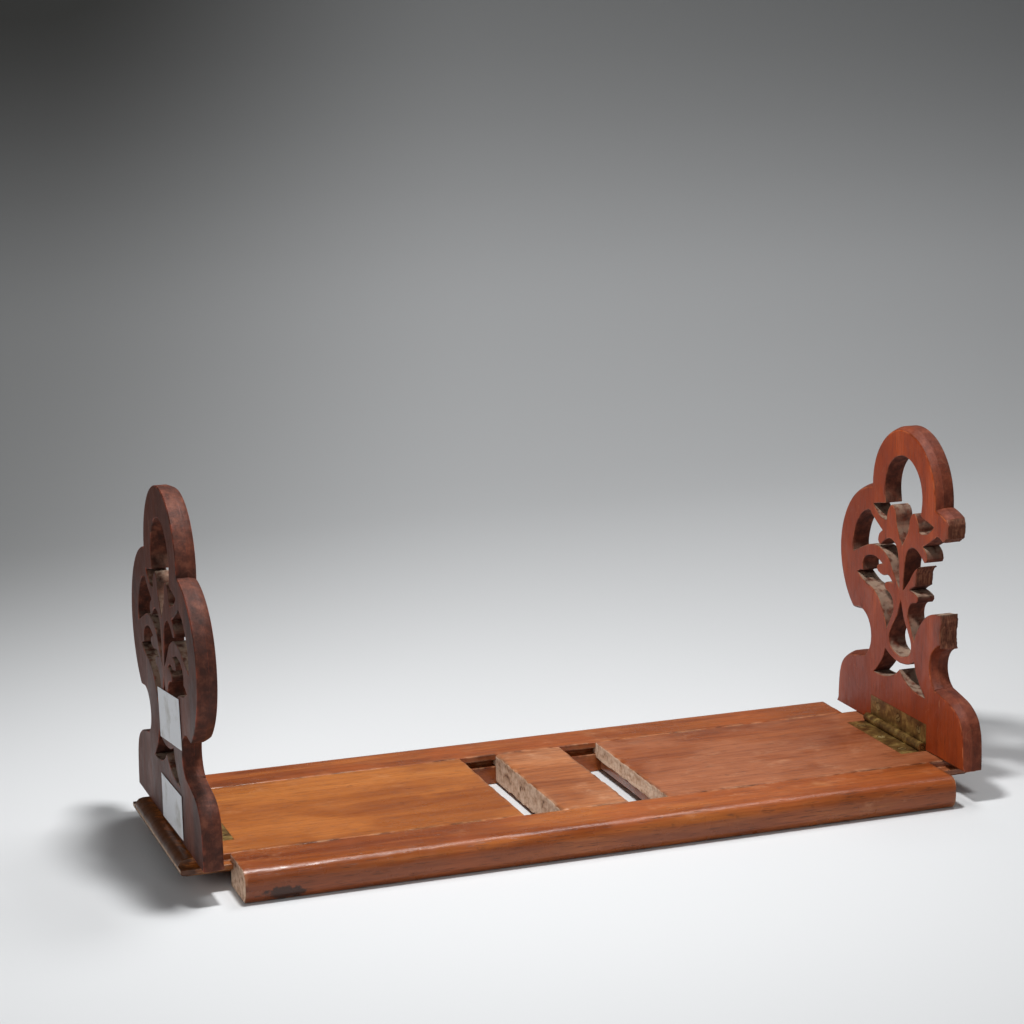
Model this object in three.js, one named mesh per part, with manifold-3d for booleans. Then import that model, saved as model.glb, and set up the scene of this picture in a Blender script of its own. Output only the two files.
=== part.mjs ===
// Extending bible stand: two side rails, a fixed centre board, two sliding leaves
// and two fretwork end boards that fold inwards on brass butt hinges.
// Millimetres. X runs along the rails, Y across them, +Z up, floor at Z = 0.

import * as THREE from 'three';
import Module from 'manifold-3d';
import { mergeVertices } from 'three/addons/utils/BufferGeometryUtils.js';

const wasm = await Module();
wasm.setup();

// ---------- driving dimensions ----------

const GAP = 0.3; // clearance between neighbouring pieces
const STEP = 2.2; // spacing of points along a curved outline

const BASE = {
  length: 366,
  height: 16,
  footHalfWidth: 72.5, // outer edge where the rail meets the floor
  bulgeHalfWidth: 75.5, // widest point of the rounded outer edge
  bulgeHeight: 8,
  flatHalfWidth: 69, // where the flat top starts to round over
  innerHalfWidth: 47.9, // inner arris of each rail
};

const GROOVE = { bottom: 9.4, top: 12.8, depth: 5.5 };

const CENTRE = { left: -18.2, right: 17, underside: 1 };

const SLIDER = {
  length: 163, // inner end to the outer face of the end board
  nosing: 7, // rounded end beyond the end board
  underside: 7.2,
};

const BATTEN = { setBack: 1.2, width: 18, length: 88, thickness: 4.4 };

const INNER_END = 37.7; // each slider's inner end from the middle of the stand, partly drawn out

const BOARD = { thickness: 10 };

const HINGE = {
  length: 60,
  leafWidth: 12, // pin axis to the free edge of a leaf
  leafThickness: 1.4,
  offset: 2, // pin axis to the wood on both sides
  barrelRadius: 2.4,
  pinRadius: 1.1,
  middleBarrel: 24,
};

// the screws' shanks are plain, and shorter than the wood is thick
const SCREW = {
  headRadius: 2.1,
  headDepth: 1.3,
  shankRadius: 1.1,
  length: 6.5,
  slotWidth: 0.6,
  slotDepth: 0.45,
  spacing: 22,
  fromPin: 7.4,
  sides: 16,
};

const LABEL = {
  thickness: 0.2,
  upper: { width: 46, height: 24, y: 11, z: 56.4, tilt: 0.13 },
  lower: { width: 43, height: 21.4, y: 9.4, z: 12.6, tilt: 0.03 },
};

const COLOUR = {
  rail: 0x8a4526,
  board: 0x96502c,
  end: 0x7a3a24,
  brass: 0x8a7440,
  screw: 0x6e5a34,
  paper: 0xdcdcd8,
};

// ---------- solids ----------

function toSolid(geometry) {
  const bare = geometry.index ? geometry.toNonIndexed() : geometry.clone();
  bare.deleteAttribute('normal');
  bare.deleteAttribute('uv');
  const merged = mergeVertices(bare, 1e-4);
  return new wasm.Manifold(
    new wasm.Mesh({
      numProp: 3,
      vertProperties: new Float32Array(merged.attributes.position.array),
      triVerts: new Uint32Array(merged.index.array),
    }),
  );
}

function toGeometry(solid) {
  const mesh = solid.getMesh();
  const geometry = new THREE.BufferGeometry();
  geometry.setAttribute('position', new THREE.BufferAttribute(mesh.vertProperties, 3));
  geometry.setIndex(new THREE.BufferAttribute(mesh.triVerts, 1));
  geometry.computeVertexNormals();
  return geometry;
}

function cutAway(geometry, tools) {
  let solid = toSolid(geometry);
  for (const tool of tools) {
    solid = solid.subtract(toSolid(tool));
  }
  return toGeometry(solid);
}

function joined(geometries) {
  let solid = toSolid(geometries[0]);
  for (const geometry of geometries.slice(1)) {
    solid = solid.add(toSolid(geometry));
  }
  return toGeometry(solid);
}

function box(low, high) {
  const size = high.map((value, axis) => value - low[axis]);
  const geometry = new THREE.BoxGeometry(...size);
  return geometry.translate(...low.map((value, axis) => value + size[axis] / 2));
}

// A section drawn in (Y, Z), extruded along X from startX to endX.
function alongX(shape, startX, endX) {
  const geometry = new THREE.ExtrudeGeometry(shape, { depth: endX - startX, bevelEnabled: false });
  geometry.rotateX(Math.PI / 2);
  geometry.rotateZ(Math.PI / 2);
  return geometry.translate(startX, 0, 0);
}

// A section drawn in (X, Z), extruded along Y from startY to endY.
function alongY(shape, startY, endY) {
  const geometry = new THREE.ExtrudeGeometry(shape, { depth: endY - startY, bevelEnabled: false });
  geometry.rotateX(Math.PI / 2);
  return geometry.translate(0, endY, 0);
}

function cylinderAlongY(radius, startY, endY, sides) {
  const geometry = new THREE.CylinderGeometry(radius, radius, endY - startY, sides);
  return geometry.translate(0, (startY + endY) / 2, 0);
}

// ---------- curves for outlines ----------

function arc(centre, radius, startDegrees, endDegrees) {
  const start = THREE.MathUtils.degToRad(startDegrees);
  const end = THREE.MathUtils.degToRad(endDegrees);
  const curve = new THREE.EllipseCurve(
    centre[0], centre[1], radius, radius, start, end, end < start, 0);
  return curve.getSpacedPoints(Math.ceil(curve.getLength() / STEP));
}

// A smooth stretch through a few hand-set points.
function smooth(...points) {
  const curve = new THREE.SplineCurve(points.map(([across, up]) => new THREE.Vector2(across, up)));
  return curve.getSpacedPoints(Math.ceil(curve.getLength() / STEP));
}

function corner(across, up) {
  return [new THREE.Vector2(across, up)];
}

function dropRepeats(points) {
  const kept = points.filter((point, index) => index === 0 || point.distanceTo(points[index - 1]) > 0.05);
  if (kept[0].distanceTo(kept[kept.length - 1]) < 0.05) kept.pop();
  return kept;
}

function path(...stretches) {
  return dropRepeats(stretches.flat());
}

// Half an outline that starts at the middle line, and its mirror image.
function withMirror(half) {
  const other = half.map((point) => new THREE.Vector2(-point.x, point.y)).reverse();
  return dropRepeats([...half, ...other]);
}

function mirrorOf(outline) {
  return outline.map((point) => new THREE.Vector2(-point.x, point.y)).reverse();
}

// ---------- rails and centre board ----------

function railShape() {
  const shape = new THREE.Shape();
  shape.moveTo(BASE.innerHalfWidth, 0);
  shape.lineTo(BASE.footHalfWidth, 0);
  shape.quadraticCurveTo(
    BASE.bulgeHalfWidth, BASE.bulgeHeight * 0.4, BASE.bulgeHalfWidth, BASE.bulgeHeight);
  shape.bezierCurveTo(
    BASE.bulgeHalfWidth, BASE.bulgeHeight + 5, BASE.flatHalfWidth + 4.5, BASE.height,
    BASE.flatHalfWidth, BASE.height);
  shape.lineTo(BASE.innerHalfWidth, BASE.height);
  shape.lineTo(BASE.innerHalfWidth, GROOVE.top);
  shape.lineTo(BASE.innerHalfWidth + GROOVE.depth, GROOVE.top);
  shape.lineTo(BASE.innerHalfWidth + GROOVE.depth, GROOVE.bottom);
  shape.lineTo(BASE.innerHalfWidth, GROOVE.bottom);
  shape.closePath();
  return shape;
}

function makeRail() {
  return alongX(railShape(), -BASE.length / 2, BASE.length / 2);
}

// A board that fills the space between the rails, with a tongue in each groove.
function tonguedShape(underside) {
  const side = BASE.innerHalfWidth - GAP;
  const tongue = side + GROOVE.depth - GAP;
  const tongueTop = GROOVE.top - GAP;
  const tongueBottom = GROOVE.bottom + GAP;
  const half = [
    [side, BASE.height],
    [side, tongueTop],
    [tongue, tongueTop],
    [tongue, tongueBottom],
    [side, tongueBottom],
    [side, underside],
  ];
  const other = half.map(([across, up]) => [-across, up]).reverse();
  return new THREE.Shape([...half, ...other].map(([across, up]) => new THREE.Vector2(across, up)));
}

function makeCentreBoard() {
  return alongX(tonguedShape(CENTRE.underside), CENTRE.left, CENTRE.right);
}

// ---------- one end of the stand, drawn as the right-hand end ----------
// X is measured from the outer face of the end board; inwards is negative.

const FACE_X = -BOARD.thickness; // inner face of the end board
const PIN = { x: FACE_X - HINGE.offset, z: BASE.height + HINGE.offset };
const BOARD_FOOT = BASE.height + GAP;
const HALF_HINGE = HINGE.length / 2;

// Side view of a leaf that ends in a rounded nosing under and beyond the end board.
function sliderSideView() {
  const noseHeight = (BASE.height - SLIDER.underside) / 2;
  const noseCentre = SLIDER.nosing - noseHeight;
  const shape = new THREE.Shape();
  shape.moveTo(-SLIDER.length - 1, SLIDER.underside);
  shape.lineTo(noseCentre, SLIDER.underside);
  shape.absarc(noseCentre, BASE.height - noseHeight, noseHeight, -Math.PI / 2, Math.PI / 2, false);
  shape.lineTo(-SLIDER.length - 1, BASE.height);
  shape.closePath();
  return shape;
}

function barrelRecess() {
  const radius = HINGE.barrelRadius + GAP;
  const tool = cylinderAlongY(radius, -HALF_HINGE - GAP, HALF_HINGE + GAP, 24);
  return tool.translate(PIN.x, 0, PIN.z);
}

function baseLeafRecess() {
  return box(
    [PIN.x - HINGE.leafWidth - GAP, -HALF_HINGE - GAP, BASE.height - HINGE.leafThickness - GAP],
    [PIN.x + HINGE.offset - GAP, HALF_HINGE + GAP, BASE.height + 1]);
}

function screwHole(placeTool) {
  const radius = SCREW.shankRadius + GAP;
  const depth = SCREW.length + GAP;
  const tool = new THREE.CylinderGeometry(radius, radius, depth, SCREW.sides);
  tool.rotateX(Math.PI / 2);
  tool.translate(0, 0, -depth / 2);
  return placeTool(tool);
}

// Screws are drawn with the head's top at the origin and the shank pointing down -Z.
const SCREW_ROW = [-SCREW.spacing, 0, SCREW.spacing];

function inBaseLeaf(geometry, y) {
  return geometry.translate(PIN.x - SCREW.fromPin, y, BASE.height);
}

function inEndLeaf(geometry, y) {
  geometry.rotateY(-Math.PI / 2);
  return geometry.translate(FACE_X, y, PIN.z + SCREW.fromPin);
}

function makeSlider() {
  const halfWidth = BASE.innerHalfWidth + GROOVE.depth;
  const blank = toSolid(alongX(tonguedShape(SLIDER.underside), -SLIDER.length, SLIDER.nosing));
  const profile = toSolid(alongY(sliderSideView(), -halfWidth, halfWidth));
  let solid = blank.intersect(profile);
  const tools = [baseLeafRecess(), barrelRecess()];
  for (const y of SCREW_ROW) {
    tools.push(screwHole((tool) => inBaseLeaf(tool, y)));
  }
  for (const tool of tools) {
    solid = solid.subtract(toSolid(tool));
  }
  return toGeometry(solid);
}

function makeBatten() {
  const start = -SLIDER.length + BATTEN.setBack;
  const top = SLIDER.underside - GAP;
  return box(
    [start, -BATTEN.length / 2, top - BATTEN.thickness],
    [start + BATTEN.width, BATTEN.length / 2, top]);
}

// ---------- fretwork end board, drawn in (across, up) from the board's foot ----------

function boardOutline() {
  const half = path(
    corner(0, 165),
    arc([0, 130], 35, 90, 0),
    arc([29.5, 89], 40.4, 82.2, -54.5),
    arc([45, 45.5], 11.6, 76, 240),
    smooth([39.2, 35.4], [48, 33.6], [57, 31.2], [64.5, 26.2], [68.2, 18.5], [69.4, 8], [69.5, 0]),
  );
  return withMirror(half);
}

function archOpening() {
  const half = path(
    arc([0, 130], 19.8, 90, -12),
    corner(18.6, 121.6),
    corner(32, 118.8),
    smooth([32, 118.4], [25.5, 114], [19.4, 112.4]),
    smooth([17.2, 113], [16.4, 117.4], [12.2, 122], [8, 119.2], [6, 111.5], [0, 102.5]),
  );
  return withMirror(half);
}

// Between the side loop, the upper leaf, the stem and the scroll.
function sideOpening() {
  return path(
    smooth([33.5, 112.8], [36.5, 114.6], [42.8, 112.2], [48.2, 107.4], [52, 101.2],
      [54.2, 93.6], [53.6, 88.6]),
    smooth([53.6, 88.6], [44.7, 92.4], [35.2, 96], [26.6, 97], [19.4, 95.4], [13.6, 92],
      [8.6, 85.8], [1.9, 78.8]),
    smooth([1.9, 78.8], [2.4, 87], [3.6, 95.4], [6.4, 101.2], [12, 103.6], [17.6, 102.2], [23.4, 98.2]),
    smooth([23.4, 98.2], [26.2, 99.6], [25, 104], [21.6, 106.3]),
    corner(28, 109.6),
  );
}

// Round the scroll's curled end, then down beside the teardrop.
function scrollOpening() {
  return path(
    smooth([48.6, 78], [45.4, 79.6], [42, 80.2]),
    smooth([42, 80.2], [42.4, 85.2], [38.6, 88.8], [32.6, 90.4], [26.4, 90.2], [20.6, 88.2]),
    smooth([20.6, 88.2], [24, 87.6], [27, 85.6], [25.4, 83.2], [20, 82.2], [14.2, 83.4], [9.2, 80.6]),
    smooth([9.2, 80.6], [13.2, 80.2], [17.8, 78.6], [16.8, 75.6], [11.6, 74], [8.4, 70.6], [8, 65.6],
      [11.4, 60], [14.8, 54.6]),
    smooth([14.8, 54.6], [17, 59.6], [20.8, 65.2], [25.8, 70], [32.6, 73.2], [40.4, 74.6], [48.6, 78]),
  );
}

function teardropOpening() {
  const half = path(
    corner(0, 73.3),
    smooth([0, 73.3], [3.4, 64.6], [8.4, 57.6], [11.8, 51.2], [9.2, 45.4], [0, 42.8]),
  );
  return withMirror(half);
}

function footOpening() {
  const half = path(
    smooth([0, 39.2], [8.4, 40.3], [15.5, 43.2]),
    smooth([15.5, 43.2], [17.8, 38], [21.8, 32.8], [27.8, 27.4]),
    smooth([27.8, 27.4], [20, 27.6], [12, 29], [5, 31.8], [0, 35.6]),
  );
  return withMirror(half);
}

// The stretch of side loop and scroll that has broken away from the right-hand board.
function brokenAway() {
  return path(
    corner(-90, 128),
    corner(-45.6, 126.6),
    corner(-47.6, 122.6),
    corner(-46.8, 115.4),
    corner(-40.2, 111.4),
    corner(-34.8, 108.2),
    smooth([-31.4, 107.4], [-28.4, 103.4], [-28.6, 97]),
    corner(-20, 97.2),
    corner(-16.2, 90.4),
    corner(-15.4, 84.2),
    corner(-10.4, 81.6),
    corner(-22, 80.8),
    corner(-41.4, 76.8),
    corner(-43, 70.4),
    corner(-41.6, 65.8),
    corner(-42, 60.6),
    corner(-44.6, 52),
    corner(-90, 52),
  );
}

function plate(outline) {
  return alongX(new THREE.Shape(outline), -BOARD.thickness, 0).translate(0, 0, BOARD_FOOT);
}

// A saw cut right through the board, running past both of its faces.
function sawCut(outline) {
  const cut = alongX(new THREE.Shape(outline), -BOARD.thickness - 1, 1);
  return cut.translate(0, 0, BOARD_FOOT);
}

function endLeafRecess() {
  return box(
    [FACE_X - 1, -HALF_HINGE - GAP, BOARD_FOOT - 1],
    [FACE_X + HINGE.leafThickness + GAP, HALF_HINGE + GAP, PIN.z + HINGE.leafWidth + GAP]);
}

function makeEndBoard(broken) {
  const openings = [
    archOpening(),
    sideOpening(),
    mirrorOf(sideOpening()),
    scrollOpening(),
    mirrorOf(scrollOpening()),
    teardropOpening(),
    footOpening(),
  ];
  if (broken) openings.push(brokenAway());
  const tools = [...openings.map(sawCut), endLeafRecess(), barrelRecess()];
  for (const y of SCREW_ROW) {
    tools.push(screwHole((tool) => inEndLeaf(tool, y)));
  }
  return cutAway(plate(boardOutline()), tools);
}

// ---------- brass butt hinge ----------

// Each leaf is a plate that carries its own barrels, bored for the pin.
function makeLeaf(platePart, barrels) {
  const rings = barrels.map(([start, end]) =>
    cylinderAlongY(HINGE.barrelRadius, start, end, 24).translate(PIN.x, 0, PIN.z));
  const boreRadius = HINGE.pinRadius + GAP;
  const bore = cylinderAlongY(boreRadius, -HALF_HINGE - 1, HALF_HINGE + 1, 24);
  bore.translate(PIN.x, 0, PIN.z);
  return [joined([platePart, ...rings]), bore];
}

function headHole(placeTool) {
  const radius = SCREW.headRadius + GAP;
  const tool = new THREE.CylinderGeometry(radius, radius, 8, SCREW.sides);
  tool.rotateX(Math.PI / 2);
  return placeTool(tool);
}

function barrelRoom(barrels) {
  return barrels.map(([start, end]) =>
    cylinderAlongY(HINGE.barrelRadius + GAP, start - GAP, end + GAP, 24).translate(PIN.x, 0, PIN.z));
}

const MIDDLE = HINGE.middleBarrel / 2;
const OUTER_BARRELS = [[-HALF_HINGE, -MIDDLE - GAP], [MIDDLE + GAP, HALF_HINGE]];
const MIDDLE_BARREL = [[-MIDDLE, MIDDLE]];

function makeBaseLeaf() {
  const leafPlate = box(
    [PIN.x - HINGE.leafWidth, -HALF_HINGE, BASE.height - HINGE.leafThickness],
    [PIN.x + 0.8, HALF_HINGE, BASE.height]);
  const [leaf, bore] = makeLeaf(leafPlate, OUTER_BARRELS);
  const heads = SCREW_ROW.map((y) => headHole((tool) => inBaseLeaf(tool, y)));
  return cutAway(leaf, [bore, ...barrelRoom(MIDDLE_BARREL), ...heads]);
}

function makeEndLeaf() {
  const leafPlate = box(
    [FACE_X, -HALF_HINGE, PIN.z - 0.8],
    [FACE_X + HINGE.leafThickness, HALF_HINGE, PIN.z + HINGE.leafWidth]);
  const [leaf, bore] = makeLeaf(leafPlate, MIDDLE_BARREL);
  const heads = SCREW_ROW.map((y) => headHole((tool) => inEndLeaf(tool, y)));
  return cutAway(leaf, [bore, ...barrelRoom(OUTER_BARRELS), ...heads]);
}

function makePin() {
  return cylinderAlongY(HINGE.pinRadius, -HALF_HINGE, HALF_HINGE, 16).translate(PIN.x, 0, PIN.z);
}

// Countersunk slotted screw, its head just below the leaf's face.
function makeScrew(slotDegrees) {
  const profile = [
    [0, 0],
    [SCREW.headRadius, 0],
    [SCREW.shankRadius, -SCREW.headDepth],
    [SCREW.shankRadius, -SCREW.length + 1],
    [0, -SCREW.length],
  ].map(([radius, up]) => new THREE.Vector2(radius, up)).reverse();
  const turned = new THREE.LatheGeometry(profile, SCREW.sides).rotateX(Math.PI / 2);
  const slot = box(
    [-SCREW.headRadius - 1, -SCREW.slotWidth / 2, -SCREW.slotDepth],
    [SCREW.headRadius + 1, SCREW.slotWidth / 2, 1]);
  slot.rotateZ(THREE.MathUtils.degToRad(slotDegrees));
  return cutAway(turned, [slot]);
}

// ---------- paper labels on the outer face of the left-hand board ----------

function makeLabel({ width, height, y, z, tilt }) {
  const label = box(
    [0, -width / 2, -height / 2],
    [LABEL.thickness, width / 2, height / 2]);
  label.rotateX(tilt);
  return label.translate(GAP, y, BOARD_FOOT + z);
}

// ---------- the scene graph ----------

const stand = new THREE.Group();

function add(parent, name, geometry, color, roughness, metalness) {
  const material = new THREE.MeshStandardMaterial({ color, roughness, metalness });
  const mesh = new THREE.Mesh(geometry, material);
  mesh.name = name;
  parent.add(mesh);
  return mesh;
}

function addWood(parent, name, geometry, color) {
  return add(parent, name, geometry, color, 0.42, 0);
}

function addBrass(parent, name, geometry, color) {
  return add(parent, name, geometry, color, 0.45, 0.9);
}

const SLOT_TURNS = [20, 75, -35];

function addEnd(side, broken) {
  const end = new THREE.Group();
  addWood(end, `${side}_slider`, makeSlider(), COLOUR.board);
  addWood(end, `${side}_slider_batten`, makeBatten(), COLOUR.board);
  addWood(end, `${side}_end_board`, makeEndBoard(broken), COLOUR.end);
  addBrass(end, `${side}_hinge_base_leaf`, makeBaseLeaf(), COLOUR.brass);
  addBrass(end, `${side}_hinge_end_leaf`, makeEndLeaf(), COLOUR.brass);
  addBrass(end, `${side}_hinge_pin`, makePin(), COLOUR.brass);
  SCREW_ROW.forEach((y, index) => {
    const turn = SLOT_TURNS[index];
    addBrass(end, `${side}_base_screw_${index + 1}`, inBaseLeaf(makeScrew(turn), y), COLOUR.screw);
    addBrass(end, `${side}_end_screw_${index + 1}`, inEndLeaf(makeScrew(turn + 50), y), COLOUR.screw);
  });
  stand.add(end);
  return end;
}

addWood(stand, 'back_rail', makeRail(), COLOUR.rail);
addWood(stand, 'front_rail', makeRail(), COLOUR.rail).rotation.z = Math.PI;
addWood(stand, 'centre_board', makeCentreBoard(), COLOUR.board);

const rightEnd = addEnd('right', true);
rightEnd.position.x = INNER_END + SLIDER.length;

const leftEnd = addEnd('left', false);
add(leftEnd, 'upper_label', makeLabel(LABEL.upper), COLOUR.paper, 0.8, 0);
add(leftEnd, 'lower_label', makeLabel(LABEL.lower), COLOUR.paper, 0.8, 0);
leftEnd.rotation.z = Math.PI;
leftEnd.position.x = -INNER_END - SLIDER.length;

export default stand;
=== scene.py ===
import math

import bmesh
import bpy
import numpy as np
from mathutils import Matrix, Vector, noise
from mathutils.geometry import delaunay_2d_cdt


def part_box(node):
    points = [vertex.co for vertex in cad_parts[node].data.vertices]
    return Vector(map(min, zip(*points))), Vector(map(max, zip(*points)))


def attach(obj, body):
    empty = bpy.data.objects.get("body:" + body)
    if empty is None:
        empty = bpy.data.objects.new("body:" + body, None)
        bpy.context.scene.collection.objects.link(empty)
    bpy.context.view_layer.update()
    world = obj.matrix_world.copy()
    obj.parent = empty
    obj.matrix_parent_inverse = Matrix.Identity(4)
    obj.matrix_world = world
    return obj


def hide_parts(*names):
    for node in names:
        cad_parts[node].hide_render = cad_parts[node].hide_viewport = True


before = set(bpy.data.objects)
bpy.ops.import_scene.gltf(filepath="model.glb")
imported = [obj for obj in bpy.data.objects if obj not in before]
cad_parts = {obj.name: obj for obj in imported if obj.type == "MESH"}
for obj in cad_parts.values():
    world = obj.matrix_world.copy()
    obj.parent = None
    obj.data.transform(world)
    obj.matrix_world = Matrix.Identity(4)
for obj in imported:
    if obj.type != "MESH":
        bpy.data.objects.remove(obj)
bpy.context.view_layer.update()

# Looks of an extending bible stand: varnished wooden rails, sliding leaves and
# fretwork end boards, aged brass hinges and two blank paper labels. Metres.

# ---------- driving dimensions ----------

MM = 0.001
ARRIS = 0.45 * MM  # softened corner of a worn wooden edge
RAIL_STATION = 5 * MM  # spacing of the sections along a rail or leaf
PROFILE_SPACING = 2.0 * MM  # spacing of points round a rail's section
BOARD_SPACING = 1.0 * MM  # spacing of points round the fretwork

ROUND_DEPTH = 4.2 * MM  # rounded outline of an end board, measured into its thickness
ROUND_WIDTH = 2.2 * MM  # the same, measured across its face

BOARD_THICKNESS = 10 * MM
BOARD_ARRIS = 0.3 * MM  # softened corner of an end board's flat edges

NOSE_RADIUS = 4.4 * MM
NOSE_AXIS_HEIGHT = 11.6 * MM

RECESS_SPARE = 0.12 * MM  # room round a hinge leaf in its recess
RECESS_PAST = 0.03 * MM  # how far the recess reaches past the surface it starts from
RECESS_REACH = 6 * MM  # how far an end board's recess reaches into the wood
RECESS_BELOW = 2 * MM  # how far an end board's recess reaches below the leaf

BATTEN_ARRIS = 0.5 * MM
CHIP_REACH = 2.6 * MM  # how far along a timber the chipped end arris reaches
WORN_DEPTH = 0.05 * MM

WOOD_SHARP_ANGLE = math.radians(38)
SMALL_SHARP_ANGLE = math.radians(50)

LABEL_COLUMNS = 28
LABEL_ROWS = 16

CAMERA_PLACE = (-0.4376, -1.1308, 0.414)
CAMERA_YAW = math.radians(20.034)
CAMERA_PITCH = math.radians(12.159)
CAMERA_ROLL = math.radians(-0.557)
CAMERA_LENS = 88.51

FLOOR_RADIUS = 0.9  # of the sweep's upward curve
FLOOR_BACK = 1.6
FLOOR_FRONT = -3.5
FLOOR_TOP = 3.5
FLOOR_HALF_WIDTH = 4
FLOOR_DROP = 0.0002  # keeps the floor clear of the stand's feet


# ---------- outlines taken from the frame ----------

def loops_on_plane(node, x, normal_x):
    """Outlines, as arrays of (y, z), of a node's flat face at this x: material on the left."""
    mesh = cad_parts[node].data
    onward = set()
    place = {}
    for polygon in mesh.polygons:
        if polygon.normal.x * normal_x < 0.99:
            continue
        corners = [mesh.vertices[i].co for i in polygon.vertices]
        if max(abs(c.x - x) for c in corners) > 0.02 * MM:
            continue
        if normal_x < 0:
            corners.reverse()
        keys = [(round(c.y * 1e6), round(c.z * 1e6)) for c in corners]
        for key, corner in zip(keys, corners):
            place[key] = (corner.y, corner.z)
        for a, b in zip(keys, keys[1:] + keys[:1]):
            if (b, a) in onward:
                onward.remove((b, a))
            else:
                onward.add((a, b))
    following = dict(onward)
    loops = []
    while following:
        first, step = following.popitem()
        loop = [first]
        while step != first:
            loop.append(step)
            step = following.pop(step)
        loops.append(np.array([place[key] for key in loop]))
    return sorted(loops, key=lambda loop: -abs(signed_area(loop)))


def signed_area(loop):
    y, z = loop[:, 0], loop[:, 1]
    return 0.5 * float(np.sum(y * np.roll(z, -1) - np.roll(y, -1) * z))


def densify(loop, spacing):
    """The same outline with no stretch longer than the spacing."""
    points = []
    for a, b in zip(loop, np.roll(loop, -1, axis=0)):
        pieces = max(1, math.ceil(float(np.hypot(*(b - a))) / spacing))
        points += [a + (b - a) * k / pieces for k in range(pieces)]
    return np.array(points)


def left_normals(loop):
    """At each point of an outline, the mitred step into the material, per unit of inset."""
    before = loop - np.roll(loop, 1, axis=0)
    after = np.roll(loop, -1, axis=0) - loop
    normals = []
    for side in (before, after):
        unit = side / np.maximum(np.linalg.norm(side, axis=1), 1e-9)[:, None]
        normals.append(np.stack([-unit[:, 1], unit[:, 0]], axis=1))
    mitre = normals[0] + normals[1]
    mitre /= np.maximum(np.linalg.norm(mitre, axis=1), 1e-9)[:, None]
    lengthening = 1 / np.maximum(np.sum(mitre * normals[0], axis=1), 0.55)
    return mitre * lengthening[:, None]


def inset(loop, distance):
    """The outline moved into the material by a distance, or by one distance per point."""
    return loop + left_normals(loop) * np.reshape(distance, (-1, 1))


def blurred(values, passes):
    for _ in range(passes):
        values = (np.roll(values, 1) + 2 * values + np.roll(values, -1)) / 4
    return values


def distance_to(points, others):
    """For each point, how far the nearest of the others is."""
    gaps = np.linalg.norm(points[:, None, :] - others[None, :, :], axis=2)
    return gaps.min(axis=1)


def inside(point, loops):
    """Whether a point is inside an odd number of the outlines."""
    odd = False
    for loop in loops:
        ahead = np.roll(loop, -1, axis=0)
        crosses = (loop[:, 1] > point[1]) != (ahead[:, 1] > point[1])
        rise = np.where(crosses, ahead[:, 1] - loop[:, 1], 1)
        y = loop[:, 0] + (point[1] - loop[:, 1]) / rise * (ahead[:, 0] - loop[:, 0])
        odd ^= bool(np.sum(crosses & (point[0] < y)) % 2)
    return odd


def wander(x, y, z, scale, seed=0.0):
    """Smooth noise from -1 to 1, with features about as long as the scale."""
    return noise.noise(Vector((x / scale + seed, y / scale - seed, z / scale + 0.37 * seed)))


# ---------- solids built from matching sections ----------

def fill(points, counts):
    """Triangles between outlines; extra points after the outlines are kept as well."""
    edges = []
    loops = []
    start = 0
    for count in counts:
        edges += [(start + i, start + (i + 1) % count) for i in range(count)]
        loops.append(np.array(points[start:start + count]))
        start += count
    found = delaunay_2d_cdt([Vector(p) / MM for p in points], edges, [], 0, 1e-5)
    places, triangles, sources = found[0], found[2], found[3]
    given = np.array(points)
    nearest = []
    for place, source in zip(places, sources):
        if source:
            nearest.append(source[0])
        else:
            gaps = np.linalg.norm(given - np.array(place) * MM, axis=1)
            nearest.append(int(gaps.argmin()))
    kept = []
    for triangle in triangles:
        centre = sum((places[i] for i in triangle), Vector((0, 0))) / 3 * MM
        corners = tuple(nearest[i] for i in triangle)
        if len(set(corners)) == 3 and inside(centre, loops):
            kept.append(corners)
    return kept


def grid_inside(loops, spacing, seed):
    """Jittered points that cover the inside of the outlines."""
    low = loops[0].min(axis=0)
    high = loops[0].max(axis=0)
    edge = np.concatenate(loops)
    points = []
    for row in range(1, int((high[1] - low[1]) / spacing)):
        for column in range(1, int((high[0] - low[0]) / spacing)):
            y = low[0] + spacing * (column + 0.3 * wander(row, column, 0, 0.7, seed))
            z = low[1] + spacing * (row + 0.3 * wander(column, row, 5, 0.7, seed))
            point = np.array([y, z])
            clear = np.linalg.norm(edge - point, axis=1).min() > 0.6 * spacing
            if clear and inside(point, loops):
                points.append(point)
    return points


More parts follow.
